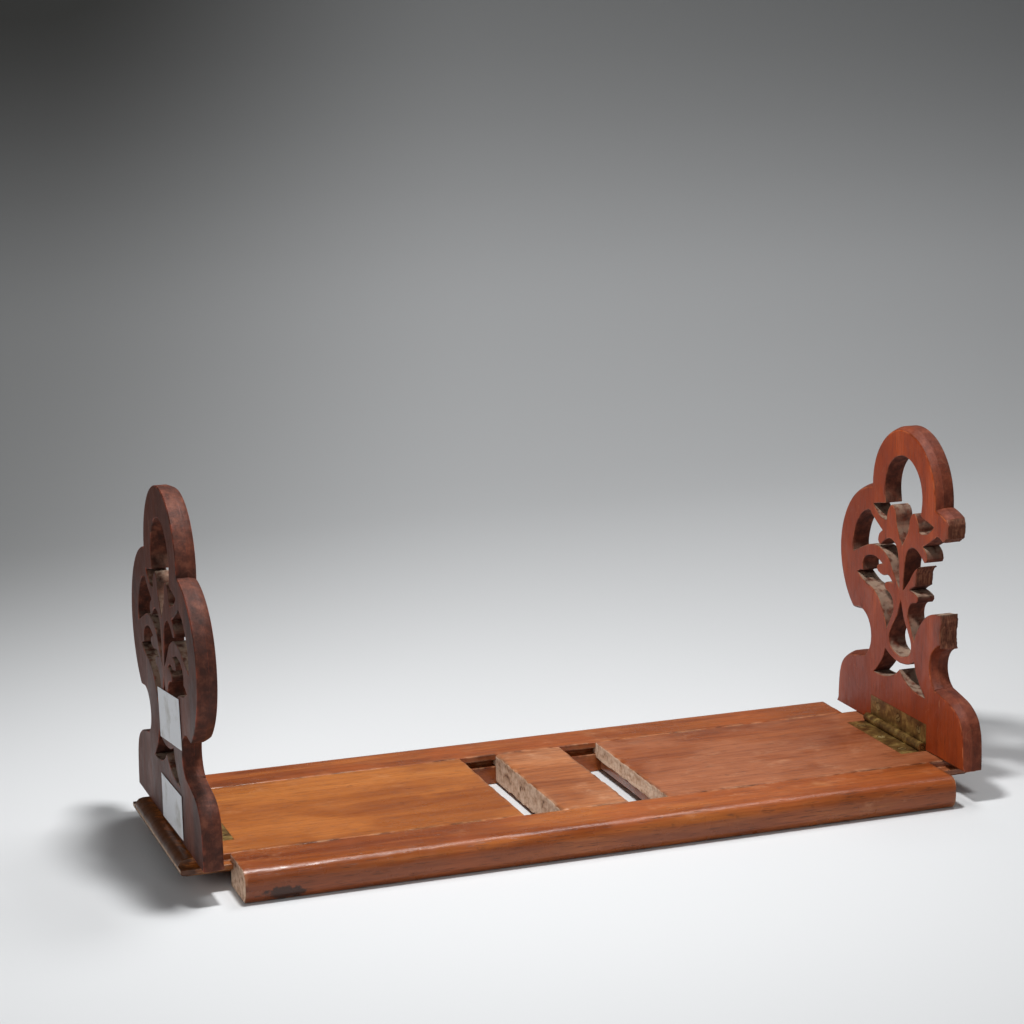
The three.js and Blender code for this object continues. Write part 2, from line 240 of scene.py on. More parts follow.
def solid_from_sections(name, sections, marks, caps=(None, None)):
    """A closed mesh through matching outlines from the lowest x to the highest.

    Each section is a list of (n, 3) arrays. marks holds one value per point of every section.
    Each cap is None for a flat end, or the spacing and roughness of a torn or sawn one.
    """
    counts = [len(loop) for loop in sections[0]]
    total = sum(counts)
    verts = [tuple(point) for section in sections for loop in section for point in loop]
    values = {key: list(np.ravel(value)) for key, value in marks.items()}
    faces = []
    for k in range(len(sections) - 1):
        start = k * total
        for count in counts:
            for i in range(count):
                j = (i + 1) % count
                faces.append((start + i, start + j, start + total + j, start + total + i))
            start += count
    for k, rough in ((0, caps[0]), (len(sections) - 1, caps[1])):
        base = k * total
        outlines = [loop[:, 1:3] for loop in sections[k]]
        points = [tuple(point) for loop in outlines for point in loop]
        index = list(range(base, base + total))
        if rough:
            spacing, depth = rough
            inner_x = float(np.mean(sections[k][0][:, 0]))
            inwards = 1 if k == 0 else -1
            for y, z in grid_inside(outlines, spacing, 3.1 * k):
                index.append(len(verts))
                points.append((y, z))
                relief = 0.5 + 0.5 * wander(inner_x, y, z, 2.2 * spacing, 7.0)
                verts.append((inner_x + inwards * depth * relief, y, z))
                for key in values:
                    values[key].append(1.0 if key == "end" else 0.0)
        for triangle in fill(points, counts):
            corners = [index[i] for i in triangle]
            if k == 0:
                corners.reverse()
            faces.append(tuple(corners))
    mesh = bpy.data.meshes.new(name)
    mesh.from_pydata(verts, [], faces)
    for key, value in values.items():
        attribute = mesh.attributes.new(key, "FLOAT", "POINT")
        attribute.data.foreach_set("value", np.array(value, np.float32))
    work = bmesh.new()
    work.from_mesh(mesh)
    bmesh.ops.remove_doubles(work, verts=work.verts, dist=0.002 * MM)
    work.to_mesh(mesh)
    work.free()
    mesh.shade_smooth()
    mesh.set_sharp_from_angle(angle=WOOD_SHARP_ANGLE)
    piece = bpy.data.objects.new(name, mesh)
    bpy.context.collection.objects.link(piece)
    return piece


def carve(piece, low, high):
    """Cuts a square-cornered recess out of a piece."""
    size = Vector(high) - Vector(low)
    cutter_mesh = bpy.data.meshes.new("cutter")
    work = bmesh.new()
    bmesh.ops.create_cube(work, size=1.0)
    bmesh.ops.scale(work, vec=size, verts=work.verts)
    bmesh.ops.translate(work, vec=Vector(low) + size / 2, verts=work.verts)
    work.to_mesh(cutter_mesh)
    work.free()
    cutter = bpy.data.objects.new("cutter", cutter_mesh)
    bpy.context.collection.objects.link(cutter)
    cut = piece.modifiers.new("recess", "BOOLEAN")
    cut.operation = "DIFFERENCE"
    cut.solver = "EXACT"
    cut.object = cutter
    evaluated = piece.evaluated_get(bpy.context.evaluated_depsgraph_get())
    mesh = bpy.data.meshes.new_from_object(evaluated)
    mesh.name = piece.name
    piece.modifiers.clear()
    piece.data = mesh
    bpy.data.objects.remove(cutter)
    mesh.shade_smooth()
    mesh.set_sharp_from_angle(angle=WOOD_SHARP_ANGLE)


def leaf_recess(node):
    """The box that a hinge leaf is let into, a hair larger than the leaf."""
    low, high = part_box(node)
    if node.endswith("base_leaf"):
        return ((low.x - RECESS_SPARE, low.y - RECESS_SPARE, low.z - RECESS_PAST),
                (high.x + RECESS_SPARE, high.y + RECESS_SPARE, high.z))
    if node.startswith("left"):
        start, end = low.x - RECESS_PAST, low.x + RECESS_REACH
    else:
        start, end = high.x - RECESS_REACH, high.x + RECESS_PAST
    return ((start, low.y - RECESS_SPARE, low.z - RECESS_BELOW),
            (end, high.y + RECESS_SPARE, high.z + RECESS_SPARE))


def finish_piece(piece, body, node, material):
    piece.data.materials.clear()
    piece.data.materials.append(material)
    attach(piece, body)
    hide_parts(node)


# ---------- rails, centre board and sliding leaves ----------

def stations(low, high):
    """Places along x, close together at both ends so that the arrises can be softened."""
    count = max(2, round((high - low) / RAIL_STATION))
    middle = np.linspace(low + 4 * MM, high - 4 * MM, count)
    near = np.array([0, ARRIS * 0.35, ARRIS, 2 * MM])
    return np.concatenate([low + near, middle, high - near[::-1]])


def end_inset(x, low, high):
    """How far the section draws in close to an end, as a quarter circle."""
    near = min(x - low, high - x)
    if near >= ARRIS:
        return 0.0
    return ARRIS - math.sqrt(max(0.0, ARRIS ** 2 - (ARRIS - near) ** 2))


def softened_corners(loop):
    """The outline with its square corners cut back to small flats."""
    before = loop - np.roll(loop, 1, axis=0)
    after = np.roll(loop, -1, axis=0) - loop
    points = []
    for point, a, b in zip(loop, before, after):
        turn = abs(math.atan2(a[0] * b[1] - a[1] * b[0], float(np.dot(a, b))))
        if turn < math.radians(40):
            points.append(point)
            continue
        cut = 0.35 * MM
        support = 1.0 * MM
        before_length = np.linalg.norm(a)
        after_length = np.linalg.norm(b)
        if before_length > 3 * support:
            points.append(point - a / before_length * support)
        points.append(point - a / before_length * min(cut, before_length / 3))
        points.append(point + b / after_length * min(cut, after_length / 3))
        if after_length > 3 * support:
            points.append(point + b / after_length * support)
    return np.array(points)


def edge_marks(loop):
    """1 at the corners of a section, falling to 0 away from them."""
    before = loop - np.roll(loop, 1, axis=0)
    after = np.roll(loop, -1, axis=0) - loop
    turn = np.abs(np.arctan2(
        before[:, 0] * after[:, 1] - before[:, 1] * after[:, 0], np.sum(before * after, axis=1)))
    corners = loop[turn > math.radians(25)]
    if len(corners) == 0:
        return np.zeros(len(loop))
    return np.clip(1 - distance_to(loop, corners) / (0.9 * MM), 0, 1)


def shrunk(section, distance):
    """A section held inside its own box, less a distance at each point."""
    low = section.min(axis=0)
    high = section.max(axis=0)
    return np.column_stack([
        np.clip(section[:, axis], low[axis] + distance, high[axis] - distance) for axis in (0, 1)])


def plank(name, node, low, high, face_x, normal_x, chips, clamp=None, rough=(None, None)):
    """A length of timber swept along x through its own end section.

    chips gives the depth of wear on the arris at the low and the high end, in metres.
    """
    outline = densify(softened_corners(loops_on_plane(node, face_x, normal_x)[0]), PROFILE_SPACING)
    edges = edge_marks(outline)
    sections = []
    marks = {"edge": [], "end": []}
    for x in stations(low, high):
        drawn = np.full(len(outline), end_inset(x, low, high))
        for end, depth in ((low, chips[0]), (high, chips[1])):
            near = abs(x - end)
            if depth and near < CHIP_REACH:
                for i, (y, z) in enumerate(outline):
                    broken = max(0.0, wander(end, y, z, 5 * MM, 2.0) + 0.15)
                    fine = 0.35 * abs(wander(end, y, z, 1.1 * MM, 9.0))
                    drawn[i] += depth * (broken + fine) * (1 - near / CHIP_REACH) ** 2
        worn = WORN_DEPTH * np.array([abs(wander(x, y, z, 14 * MM)) for y, z in outline])
        section = shrunk(inset(outline, worn), drawn)
        if clamp:
            section = clamp(x, section)
        sections.append([np.column_stack([np.full(len(section), x), section])])
        close = max(0.0, 1 - min(x - low, high - x) / (1.5 * MM))
        marks["edge"] += [max(mark, close) for mark in edges]
        marks["end"] += [1.0 if min(x - low, high - x) < 0.1 * ARRIS else 0.0] * len(outline)
    return solid_from_sections(name, sections, marks, rough)


def nose_clamp(axis_x, outwards):
    """Keeps a leaf's section inside its rounded outer end."""
    def clamp(x, section):
        past = (x - axis_x) * outwards
        if past <= 0:
            return section
        half = math.sqrt(max(NOSE_RADIUS ** 2 - past ** 2, (0.25 * MM) ** 2))
        limited = section.copy()
        limited[:, 1] = np.clip(section[:, 1], NOSE_AXIS_HEIGHT - half, NOSE_AXIS_HEIGHT + half)
        return limited
    return clamp


def build_rails(material):
    for node in ("front_rail", "back_rail"):
        low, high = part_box(node)
        piece = plank(f"{node}_timber", node, low.x, high.x, low.x, -1,
                      (0.5 * MM, 0.4 * MM), rough=((1.6 * MM, 0.12 * MM), (1.6 * MM, 0.12 * MM)))
        finish_piece(piece, "base", node, material)


def build_centre_board(material):
    low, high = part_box("centre_board")
    sawn = (1.1 * MM, 0.25 * MM)
    piece = plank("centre_board_timber", "centre_board", low.x, high.x, low.x, -1,
                  (1.5 * MM, 0.8 * MM), rough=(sawn, sawn))
    finish_piece(piece, "base", "centre_board", material)


def build_slider(side, material):
    node = f"{side}_slider"
    low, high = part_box(node)
    sawn = (1.1 * MM, 0.22 * MM)
    if side == "right":
        clamp = nose_clamp(high.x - NOSE_RADIUS, 1)
        piece = plank(f"{node}_timber", node, low.x, high.x, low.x, -1,
                      (0.8 * MM, 0), clamp, (sawn, None))
    else:
        clamp = nose_clamp(low.x + NOSE_RADIUS, -1)
        piece = plank(f"{node}_timber", node, low.x, high.x, high.x, 1,
                      (0, 0.7 * MM), clamp, (None, sawn))
    carve(piece, *leaf_recess(f"{side}_hinge_base_leaf"))
    finish_piece(piece, f"{side}_leaf", node, material)


# ---------- fretwork end boards ----------

def board_depths():
    """Depths through a board, from its outer face, where its outline changes."""
    flat = BOARD_THICKNESS - ROUND_DEPTH
    depths = [0, 0, 0.35 * MM, 2.0 * MM, 4.0 * MM, flat - 0.2 * MM, flat]
    depths += [flat + ROUND_DEPTH * math.sin(math.radians(a)) for a in (4, 18, 36, 52, 66, 78)]
    return depths + [BOARD_THICKNESS, BOARD_THICKNESS]


def board_inset(depth, roundness, along_top):
    """How far a board's edge draws in at a depth: rounded outline or square opening."""
    if depth < BOARD_ARRIS:
        return BOARD_ARRIS * np.ones_like(roundness)
    past = max(0.0, (depth - (BOARD_THICKNESS - ROUND_DEPTH)) / ROUND_DEPTH)
    curve = ROUND_WIDTH * (0.6 * past + 0.4 * (1 - math.sqrt(max(0.0, 1 - past ** 2))))
    square = BOARD_ARRIS if depth > BOARD_THICKNESS - 0.1 * MM else 0.0
    return roundness * curve * along_top + (1 - roundness) * square


def point_kinds(loops, foot_height):
    """For each outline: how rounded, how freshly broken and whether on the outer outline."""
    whole_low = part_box("left_end_board")[0]
    whole = [densify(loop, 0.35 * MM) for loop in loops_on_plane("left_end_board", whole_low.x, -1)]
    outline_points = whole[0]
    opening_points = np.concatenate(whole[1:])
    kinds = []
    for loop in loops:
        rounded = distance_to(loop, outline_points) < 0.3 * MM
        original = rounded | (distance_to(loop, opening_points) < 0.3 * MM)
        foot = loop[:, 1] < foot_height
        roundness = blurred(np.where(rounded & ~foot, 1.0, 0.0), 3)
        fresh = blurred(np.where(original, 0.0, 1.0), 1)
        kinds.append((roundness, fresh, rounded))
    return kinds


def torn_depth(x, loop):
    """How deep the broken wood is torn at each point, from 0 to about 0.85."""
    return np.array([
        0.55 * abs(wander(x, y, z, 2.6 * MM, 1.0)) + 0.3 * abs(wander(x, y, z, 0.9 * MM, 6.0))
        for y, z in loop])


def build_end_board(side, material):
    node = f"{side}_end_board"
    low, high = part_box(node)
    outwards = 1 if side == "right" else -1
    outer_x = high.x if side == "right" else low.x
    loops = [densify(loop, BOARD_SPACING) for loop in loops_on_plane(node, outer_x, outwards)]
    kinds = point_kinds(loops, low.z + 0.8 * MM)

    sections = []
    marks = {"edge": [], "sawn_and_shade": [], "dust": [], "broken": []}
    depths = board_depths()
    order = depths if side == "left" else depths[::-1]
    for k, depth in enumerate(order):
        x = outer_x - outwards * depth
        on_face = depth < 0.1 * MM or depth > BOARD_THICKNESS - 0.1 * MM
        cap_ring = k in (0, len(order) - 1)
        section = []
        for loop, (roundness, fresh, rounded) in zip(loops, kinds):
            wobble = np.array([1 + 0.12 * wander(0, y, z, 22 * MM, 4.0) for y, z in loop])
            drawn = board_inset(depth, roundness * (1 - fresh), wobble)
            drawn = drawn + fresh * torn_depth(x, loop) * 1.6 * MM + (0.5 * MM if cap_ring else 0)
            placed = inset(loop, drawn)
            section.append(np.column_stack([np.full(len(loop), x), placed]))
            upward = np.clip(-left_normals(loop)[:, 1], 0, 1)
            wall = 0.0 if on_face else 1.0
            # On the rounded outline the dark sawn colour is partly a matt sawn band and partly painted
            # shade on sides turned away from the light.
            sawn_band_and_shade = 0.8 if depth < BOARD_THICKNESS - 0.1 * MM - ROUND_DEPTH else 0.7
            marks["sawn_and_shade"] += list(np.where(rounded, sawn_band_and_shade, 1.0) * wall)
            marks["dust"] += list(upward * wall * np.where(rounded, 0.0, 1.0))
            marks["broken"] += list(fresh * (1.0 if not on_face else 0.6))
            arris = on_face or depth < 0.5 * MM
            # Painted highlight: the ridge ring is marked like a worn arris so that a lighter line runs
            # along it.
            ridge_highlight = abs(depth - (BOARD_THICKNESS - ROUND_DEPTH)) < 0.1 * MM
            worn_arris = np.full(len(loop), float(arris and not cap_ring))
            marks["edge"] += list(np.maximum(worn_arris, 0.8 * roundness * ridge_highlight))
        sections.append(section)

    piece = solid_from_sections(f"{side}_end_board_fretwork", sections, marks)
    carve(piece, *leaf_recess(f"{side}_hinge_end_leaf"))
    finish_piece(piece, f"{side}_end", node, material)


# ---------- hinges, battens and labels ----------

def softened_copy(name, node, width):
    """A copy of a frame node with small rounded arrises."""
    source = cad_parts[node].data
    mesh = bpy.data.meshes.new(name)
    corners = [tuple(vertex.co) for vertex in source.vertices]
    mesh.from_pydata(corners, [], [tuple(polygon.vertices) for polygon in source.polygons])
    work = bmesh.new()
    work.from_mesh(mesh)
    bmesh.ops.remove_doubles(work, verts=work.verts, dist=0.004 * MM)
    bmesh.ops.dissolve_limit(
        work, angle_limit=math.radians(1), verts=work.verts, edges=work.edges)
    sharp = [edge for edge in work.edges
             if len(edge.link_faces) == 2 and edge.calc_face_angle(0) > math.radians(40)]
    bmesh.ops.bevel(work, geom=sharp, offset=width, segments=2, profile=0.5,
                    affect="EDGES", clamp_overlap=True)
    work.to_mesh(mesh)
    work.free()
    mesh.shade_smooth()
    mesh.set_sharp_from_angle(angle=SMALL_SHARP_ANGLE)
    piece = bpy.data.objects.new(name, mesh)
    bpy.context.collection.objects.link(piece)
    return piece


def build_hinge(side, brass, screw_brass):
    for leaf in ("base", "end"):
        paint_node(f"{side}_hinge_{leaf}_leaf", brass)
        for number in (1, 2, 3):
            paint_node(f"{side}_{leaf}_screw_{number}", screw_brass)
    paint_node(f"{side}_hinge_pin", brass)


def paint_node(node, material):
    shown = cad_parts[node]
    if not shown.material_slots:
        shown.data.materials.append(material)
    for slot in shown.material_slots:
        slot.material = material


def label_corners(node, x):
    """The four corners of a label's flat face, in order round it, and its centre."""
    face = loops_on_plane(node, x, -1)[0]
    stretch = np.linalg.norm(face - np.roll(face, 1, axis=0), axis=1)
    corners = face[np.argsort(-stretch)[:4]]
    centre = corners.mean(axis=0)
    turn = np.argsort(np.arctan2(*(corners - centre).T[::-1]))
    return corners[turn], centre


def label_points(node, seed):
    """Points of the glued face, then of the cockled outer face, row by row."""
    low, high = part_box(node)
    (a, b, c, d), centre = label_corners(node, low.x)
    thickness = high.x - low.x
    verts = []
    for layer in (0, 1):
        for row in range(LABEL_ROWS + 1):
            for column in range(LABEL_COLUMNS + 1):
                u, v = column / LABEL_COLUMNS, row / LABEL_ROWS
                point = (a * (1 - u) + b * u) * (1 - v) + (d * (1 - u) + c * u) * v
                ragged = 0.12 * MM * wander(row, column, layer, 3.0, 2.0)
                point = point + (centre - point) / np.linalg.norm(centre - point + 1e-9) * abs(ragged)
                cockle = 0.5 + 0.5 * wander(0, point[0], point[1], 9 * MM, seed)
                x = high.x - thickness * (0.08 if layer == 0 else 0.45 + 0.5 * cockle)
                verts.append((x, point[0], point[1]))
    return verts


def build_label(node, seed, material):
    """A thin glued paper with a slightly cockled face."""
    across, down = LABEL_COLUMNS, LABEL_ROWS
    mesh = bpy.data.meshes.new(f"{node}_paper")
    size = (across + 1) * (down + 1)
    faces = []
    for row in range(down):
        for column in range(across):
            k = row * (across + 1) + column
            quad = (k, k + 1, k + across + 2, k + across + 1)
            faces.append(quad)
            faces.append(tuple(size + i for i in reversed(quad)))
    rim = list(range(across))
    rim += [across + row * (across + 1) for row in range(down)]
    rim += [size - 1 - column for column in range(across)]
    rim += [down * (across + 1) - row * (across + 1) for row in range(down)]
    for i, j in zip(rim, rim[1:] + rim[:1]):
        faces.append((j, i, size + i, size + j))
    mesh.from_pydata(label_points(node, seed), [], faces)
    mesh.validate()
    mesh.shade_smooth()
    mesh.set_sharp_from_angle(angle=SMALL_SHARP_ANGLE)
    piece = bpy.data.objects.new(f"{node}_paper", mesh)
    bpy.context.collection.objects.link(piece)
    work = bmesh.new()
    work.from_mesh(mesh)
    bmesh.ops.recalc_face_normals(work, faces=work.faces)
    work.to_mesh(mesh)
    work.free()
    finish_piece(piece, "left_end", node, material)


def build_batten(side, material):
    node = f"{side}_slider_batten"
    piece = softened_copy(f"{node}_strip", node, BATTEN_ARRIS)
    finish_piece(piece, f"{side}_leaf", node, material)


# ---------- materials ----------

def linear(red, green, blue):
    """A shader colour from ordinary display values of 0 to 255."""
    def channel(value):
        value /= 255
        return value / 12.92 if value <= 0.04045 else ((value + 0.055) / 1.055) ** 2.4
    return (channel(red), channel(green), channel(blue), 1)


class Shader:
    """A material's node tree, with one short call per kind of node."""

    def __init__(self, name):
        self.material = bpy.data.materials.new(name)
        self.material.use_nodes = True
        self.tree = self.material.node_tree
        self.surface = self.tree.nodes["Principled BSDF"]

    def add(self, kind, **settings):
        node = self.tree.nodes.new(kind)
        for key, value in settings.items():
            setattr(node, key, value)
        return node

    def put(self, value, socket):
        if isinstance(value, bpy.types.NodeSocket):
            self.tree.links.new(value, socket)
        else:
            socket.default_value = value

    def place(self, scale, turn=(0, 0, 0)):
        if not hasattr(self, "object_place"):
            self.object_place = self.add("ShaderNodeTexCoord").outputs["Object"]
        mapping = self.add("ShaderNodeMapping")
        self.put(self.object_place, mapping.inputs["Vector"])
        mapping.inputs["Scale"].default_value = scale
        mapping.inputs["Rotation"].default_value = turn
        return mapping.outputs[0]

    def noise(self, scale, detail=3.0, roughness=0.55, turn=(0, 0, 0), distortion=0.0):
        """Noise whose features repeat about scale times per metre along x, y and z."""
        texture = self.add("ShaderNodeTexNoise")
        self.put(self.place(scale, turn), texture.inputs["Vector"])
        texture.inputs["Scale"].default_value = 1.0
        texture.inputs["Detail"].default_value = detail
        texture.inputs["Roughness"].default_value = roughness
        texture.inputs["Distortion"].default_value = distortion
        return texture.outputs["Fac"]

    def mark(self, name):
        return self.add("ShaderNodeAttribute", attribute_name=name).outputs["Fac"]

    def step(self, value, low, high):
        """0 below low, 1 above high, smooth between; low above high turns it round."""
        node = self.add("ShaderNodeMapRange", interpolation_type="SMOOTHSTEP")
        self.put(value, node.inputs["Value"])
        node.inputs["From Min"].default_value = low
        node.inputs["From Max"].default_value = high
        return node.outputs[0]

    def math(self, operation, a, b=0.0):
        node = self.add("ShaderNodeMath", operation=operation)
        self.put(a, node.inputs[0])
        self.put(b, node.inputs[1])
        return node.outputs[0]

    def ramp(self, value, stops):
        node = self.add("ShaderNodeValToRGB")
        self.put(value, node.inputs[0])
        elements = node.color_ramp.elements
        while len(elements) < len(stops):
            elements.new(0.5)
        for element, (position, colour) in zip(elements, stops):
            element.position = position
            element.color = colour
        return node.outputs[0]

    def mix(self, share, a, b):
        node = self.add("ShaderNodeMix", data_type="RGBA")
        self.put(share, node.inputs[0])
        self.put(a, node.inputs[6])
        self.put(b, node.inputs[7])
        return node.outputs[2]

    def bump(self, layers):
        """layers are (height, distance) pairs, laid over one another."""
        normal = None
        for height, distance in layers:
            node = self.add("ShaderNodeBump")
            self.put(height, node.inputs["Height"])
            node.inputs["Distance"].default_value = distance
            node.inputs["Strength"].default_value = 1.0
            if normal:
                self.put(normal, node.inputs["Normal"])
            normal = node.outputs[0]
        self.put(normal, self.surface.inputs["Normal"])


def along(grain, lengthwise, crosswise):
    """A scale with one value along the grain and another across it."""
    return (lengthwise, crosswise, crosswise) if grain == "X" else (crosswise, crosswise, lengthwise)


def dark_patch(s, centre, reach, share):
    """A ragged dark patch: full at its centre, nothing beyond its reach along x, y and z."""
    away = s.add("ShaderNodeVectorMath", operation="SUBTRACT")
    s.put(s.object_place, away.inputs[0])
    away.inputs[1].default_value = centre
    scaled = s.add("ShaderNodeVectorMath", operation="DIVIDE")
    s.put(away.outputs[0], scaled.inputs[0])
    scaled.inputs[1].default_value = reach
    length = s.add("ShaderNodeVectorMath", operation="LENGTH")
    s.put(scaled.outputs[0], length.inputs[0])
    ragged = s.math("MULTIPLY", s.math("SUBTRACT", s.noise((220, 220, 320), 4, 0.65), 0.5), 2.2)
    return s.math("MULTIPLY", s.step(s.math("ADD", length.outputs["Value"], ragged), 1.0, 0.6), share)


def figured(s, grain, tones, patch, cloud, spots, fibre, pores):
    """The varnished colour: figure, ribbons, dark streaks, pores and small blemishes."""
    dark, middle, light = tones
    figure = s.noise(along(grain, 5, 60), 4, 0.6, distortion=0.6)
    colour = s.ramp(figure, [(0.34, dark), (0.5, middle), (0.66, light)])
    colour = s.mix(s.math("MULTIPLY", s.step(cloud, 0.46, 0.6), 0.7), colour, patch)
    ribbon = s.noise(along(grain, 3, 24), 3, 0.5, distortion=0.3)
    colour = s.mix(s.math("MULTIPLY", s.step(ribbon, 0.55, 0.3), 0.55), colour, dark)
    streaks = s.math("MULTIPLY", s.step(fibre, 0.62, 0.36), 0.4)
    colour = s.mix(streaks, colour, dark)
    colour = s.mix(pores, colour, linear(46, 22, 12))
    blemish = s.math("MULTIPLY", s.step(spots, 0.66, 0.74), 0.35)
    return s.mix(blemish, colour, linear(70, 34, 18))


def weathered(s, colour, worn, scuff, rub_and_highlight, dark_spot, cloud):
    """Adds scuffs, grimy and rubbed arrises (along an end board's ridge the rubbed colour is a painted
    highlight), a dark patch if there is one (painted shade on the left leaf), and fine scratches.
    """
    scuffs = s.math("MULTIPLY", s.step(s.noise((60, 95, 80), 5, 0.72), 0.52, 0.74),
                    s.step(s.noise((11, 15, 13), 2), 0.45, 0.6))
    colour = s.mix(s.math("MULTIPLY", scuffs, scuff), colour, worn)
    edge = s.mark("edge")
    rubbed_and_highlight = s.math("MULTIPLY", edge, s.step(s.noise((160, 160, 160), 3), 0.42, 0.66))
    grime = s.math("MULTIPLY", edge, s.step(s.noise((90, 90, 90), 3), 0.56, 0.4))
    colour = s.mix(s.math("MULTIPLY", grime, 0.6), colour, linear(40, 20, 12))
    # The rubbed colour on arrises is wear; along an end board's ridge it is a painted highlight.
    colour = s.mix(s.math("MULTIPLY", rubbed_and_highlight, rub_and_highlight), colour, worn)
    # An optional dark patch; on the left leaf it is painted shade.
    if dark_spot:
        colour = s.mix(dark_patch(s, *dark_spot), colour, linear(34, 20, 14))
    scratch_noise = s.noise((26, 150, 40), 1, 0.4, turn=(0.2, 0.3, 0.5))
    nearness = s.math("ABSOLUTE", s.math("SUBTRACT", scratch_noise, 0.5))
    scratch = s.math("MULTIPLY", s.step(nearness, 0.003, 0.0), s.step(cloud, 0.5, 0.6))
    return s.mix(s.math("MULTIPLY", scratch, 0.3), colour, linear(206, 150, 112))


def sawn_ends(s, colour):
    """Pale, dirty end grain. Also gives where the surface is matt."""
    sawn = s.math("ADD", s.math("MULTIPLY", s.noise((420, 420, 420), 4, 0.65), 0.55),
                  s.math("MULTIPLY", s.noise((90, 110, 200), 3, 0.6), 0.45))
    raw_look = s.ramp(sawn, [
        (0.35, linear(96, 66, 50)), (0.45, linear(204, 166, 136)), (0.58, linear(240, 212, 186))])
    raw_share = s.mark("end")
    return s.mix(s.math("MULTIPLY", raw_share, 0.85), colour, raw_look), raw_share


def sawn_walls(s, colour):
    """Dark sawn sides, which on the rounded outline are partly painted shade, dust in the openings and
    broken wood. Also gives where it is matt.
    """
    raw_look = s.ramp(s.noise(along("Z", 90, 1100), 3, 0.6), [
        (0.3, linear(60, 28, 18)), (0.5, linear(98, 52, 34)), (0.72, linear(140, 92, 66))])
    sawn_and_shade_share = s.math("MULTIPLY", s.mark("sawn_and_shade"), 0.85)
    # The dark mottle is sawn wood in the openings; on the rounded outline it is partly painted shade.
    mottle = s.ramp(s.noise((210, 190, 230), 4, 0.65), [
        (0.38, linear(44, 22, 15)), (0.52, linear(76, 38, 26)), (0.68, linear(112, 64, 46))])
    colour = s.mix(sawn_and_shade_share, colour, mottle)
    dusty = s.math("MULTIPLY", s.mark("dust"), s.step(s.noise((240, 240, 240), 3), 0.3, 0.6))
    colour = s.mix(s.math("MULTIPLY", dusty, 0.7), colour, linear(164, 142, 122))
    broken = s.mark("broken")
    matt = s.math("MAXIMUM", s.mark("sawn_and_shade"), broken)
    return s.mix(s.math("MULTIPLY", broken, 0.85), colour, raw_look), matt


def varnished(s, sheen, cloud, spots, matt):
    """Roughness that wanders between two values, and is high where the wood is bare."""
    varnish = s.add("ShaderNodeMapRange")
    s.put(s.math("ADD", s.math("MULTIPLY", cloud, 0.7), s.math("MULTIPLY", spots, 0.3)),
          varnish.inputs["Value"])
    varnish.inputs["From Min"].default_value = 0.36
    varnish.inputs["From Max"].default_value = 0.64
    varnish.inputs["To Min"].default_value = sheen[0]
    varnish.inputs["To Max"].default_value = sheen[1]
    s.put(s.math("MAXIMUM", varnish.outputs[0], s.math("MULTIPLY", matt, 0.85)),
          s.surface.inputs["Roughness"])


def wood(name, tones, patch, worn, sheen, scuff, board=False, dark_spot=None):
    """Old varnished wood: an end board's grain runs up it, any other piece's along x."""
    s = Shader(name)
    grain = "Z" if board else "X"
    fibre = s.noise(along(grain, 30, 900), 3, 0.65)
    pores = s.math("MULTIPLY", s.step(s.noise(along(grain, 110, 2300), 2, 0.5), 0.6, 0.68), 0.55)
    cloud = s.noise((17, 21, 19), 3, 0.55, distortion=0.3)
    spots = s.noise((120, 130, 110), 4, 0.6)
    colour = figured(s, grain, tones, patch, cloud, spots, fibre, pores)
    colour = weathered(s, colour, worn, scuff, 0.7 if board else 0.45, dark_spot, cloud)
    colour, matt = sawn_walls(s, colour) if board else sawn_ends(s, colour)
    s.put(colour, s.surface.inputs["Base Color"])
    varnished(s, sheen, cloud, spots, matt)
    s.surface.inputs["IOR"].default_value = 1.36 if board else 1.45
    saw = s.noise((1500, 260, 260) if board else (700, 700, 700), 3, 0.6)
    s.bump([
        (s.noise((45, 60, 50), 2), 0.9 * MM),
        (fibre, 0.10 * MM),
        (s.math("MULTIPLY", pores, -1), 0.07 * MM),
        (s.math("MULTIPLY", saw, matt), 0.3 * MM),
    ])
    return s.material


def rail_wood():
    return wood(
        "rail_varnish",
        tones=(linear(112, 50, 20), linear(152, 80, 36), linear(180, 104, 50)),
        patch=linear(164, 84, 38), worn=linear(206, 146, 104), sheen=(0.2, 0.44), scuff=0.35,
        # A darker patch low on the front rail's face, near its left end.
        dark_spot=((-0.165, -0.0735, 0.0035), (0.012, 0.02, 0.004), 0.85))


def left_leaf_wood():
    return wood(
        "left_leaf_varnish",
        tones=(linear(136, 70, 26), linear(164, 94, 42), linear(186, 114, 54)),
        patch=linear(184, 110, 48), worn=linear(206, 146, 100), sheen=(0.24, 0.46), scuff=0.25,
        # Painted shade: a dark patch over the nosing, beside the left end board.
        dark_spot=((-0.21, 0.0, 0.012), (0.011, 0.3, 0.1), 0.7))


def centre_board_wood():
    return wood(
        "centre_board_varnish",
        tones=(linear(122, 64, 34), linear(164, 96, 54), linear(188, 118, 72)),
        patch=linear(186, 124, 84), worn=linear(216, 166, 130), sheen=(0.28, 0.5), scuff=0.6)


def right_leaf_wood():
    return wood(
        "right_leaf_varnish",
        tones=(linear(112, 54, 28), linear(146, 78, 42), linear(166, 96, 56)),
        patch=linear(168, 104, 70), worn=linear(206, 152, 116), sheen=(0.24, 0.46), scuff=0.35)


def right_board_wood():
    return wood(
        "right_board_varnish",
        tones=(linear(124, 46, 16), linear(154, 62, 20), linear(172, 74, 26)),
        # worn is also the colour of the painted highlight along the board's ridge.
        patch=linear(138, 56, 26), worn=linear(186, 106, 68), sheen=(0.28, 0.46), scuff=0.15,
        board=True)


